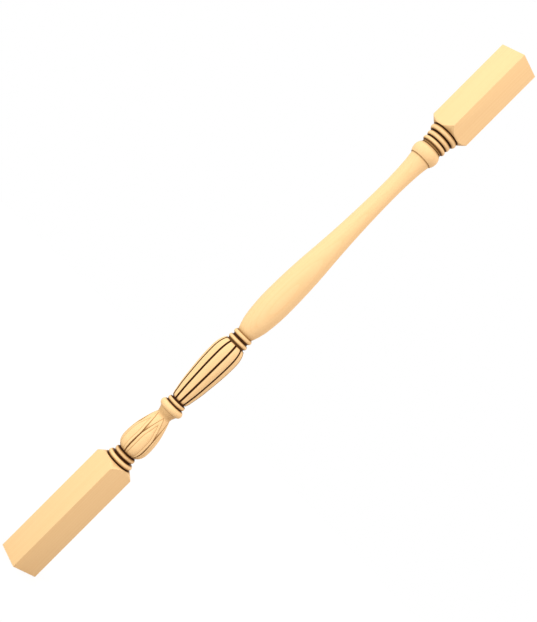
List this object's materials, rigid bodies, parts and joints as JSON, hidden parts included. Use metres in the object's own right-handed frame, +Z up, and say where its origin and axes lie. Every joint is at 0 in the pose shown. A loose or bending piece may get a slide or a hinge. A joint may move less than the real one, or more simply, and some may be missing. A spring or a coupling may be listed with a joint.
{
  "type": "stair baluster",
  "caption": "Turned wooden stair baluster with square blocks at both ends, a leaf-carved bud, a reeded bulb and a long tapered vase.",
  "frame": {"origin": "centre of the foot end, on the surface that the foot block stands on", "axes": "+Z up the baluster's axis from foot to head, X and Y square to the faces of the end blocks"},
  "size_m": [0.0414, 0.0414, 0.9],
  "materials": {
    "wood": "pale close-grained hardwood, sanded and left satin"
  },
  "bodies": {
    "root": {"baluster": "wood"}
  },
  "joints": []
}
